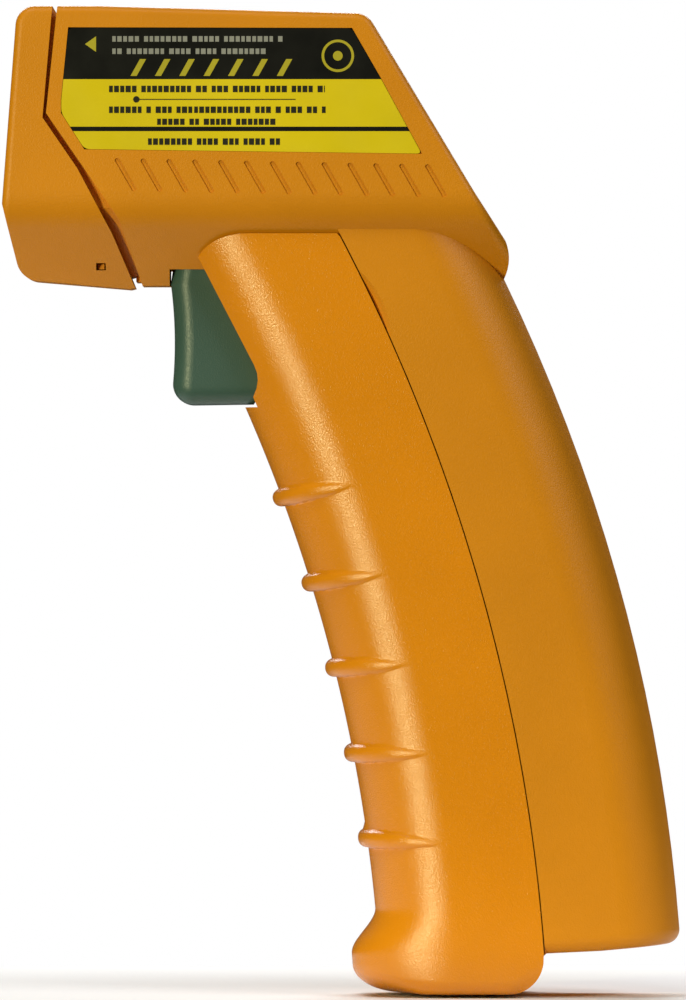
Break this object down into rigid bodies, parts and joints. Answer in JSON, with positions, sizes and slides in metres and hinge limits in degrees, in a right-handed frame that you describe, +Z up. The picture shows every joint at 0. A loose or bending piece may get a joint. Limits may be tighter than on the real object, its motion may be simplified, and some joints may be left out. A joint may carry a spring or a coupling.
{
  "type": "infrared thermometer",
  "caption": "Pistol-shaped hand-held infrared thermometer with sprung trigger, lens and laser in the nose, rear display and a hinged grip cover over the battery.",
  "frame": {"origin": "centre of the whole instrument's footprint box, at the level of the grip's toe", "axes": "+Z up with the grip hanging down, the nose points to -X, the user holds it from +X, and the left side faces -Y"},
  "size_m": [0.1046, 0.038, 0.1524],
  "materials": {
    "housing": "fine spark-eroded satin texture",
    "cover": "satin, a little glossier than the housing",
    "trigger_green": "satin",
    "label": "printed film, satin gloss",
    "black_plastic": "matt moulded",
    "bezel_black": "semi-gloss",
    "clear_window": "clear polished",
    "infrared_lens": "milky infrared-clear plastic with fine rings",
    "lcd": "grey-green display glass",
    "backlight": "white diffuser",
    "elastomer": "matt",
    "board_green": "solder mask",
    "component_black": "matt epoxy",
    "steel": "plain",
    "nickel": "nickel plated",
    "brass": "turned",
    "laser_glass": "red tinted",
    "battery_wrap": "printed sleeve over steel can",
    "wire": "vinyl insulation",
    "switch_white": "matt"
  },
  "bodies": {
    "housing": {"left_housing": "housing", "right_housing": "housing", "nose_cap": "housing", "trigger_pin": "steel", "trigger_spring": "steel", "trigger_switch": "black_plastic", "lens_tube": "black_plastic", "lens": "infrared_lens", "lens_ring": "black_plastic", "sensor_can": "nickel", "sensor_board": "board_green", "laser_module": "brass", "laser_lens": "laser_glass", "side_label_left": "label", "side_label_right": "label", "display_bezel": "bezel_black", "display_window": "clear_window", "lcd_panel": "lcd", "lcd_backlight": "backlight", "lcd_contact_strips": "elastomer", "display_board": "board_green", "main_board": "board_green", "board_chips": "component_black", "board_screws": "steel", "battery": "battery_wrap", "battery_snap": "black_plastic", "battery_leads": "wire", "unit_switch": "black_plastic", "housing_screws": "steel"},
    "cover": {"grip_cover": "cover", "hinge_pin": "steel"},
    "trigger": {"trigger": "trigger_green"},
    "plunger": {"switch_plunger": "switch_white"},
    "unit_slider": {"unit_slider": "switch_white"}
  },
  "joints": [
    {"name": "cover_hinge", "type": "hinge", "parent": "housing", "child": "cover", "pos_m": [0.02666, 0, 0.0046], "axis": [0, -1, 0], "range_deg": [0, 65]},
    {"name": "trigger_pivot", "type": "hinge", "parent": "housing", "child": "trigger", "pos_m": [-0.0215, 0, 0.1164], "axis": [0, -1, 0], "range_deg": [0, 7], "stiffness_Nm_per_rad": 0.12, "springref_deg": -14.32, "deforming": ["trigger_spring"]},
    {"name": "plunger_slide", "type": "slide", "parent": "housing", "child": "plunger", "axis": [0, 0, 1], "range_m": [0, 0.0009]},
    {"name": "unit_slide", "type": "slide", "parent": "housing", "child": "unit_slider", "axis": [0, 1, 0], "range_m": [0, 0.002]}
  ],
  "couplings": [
    {"joint": "plunger_slide", "follows": "trigger_pivot", "m_per_rad": 0.007}
  ]
}
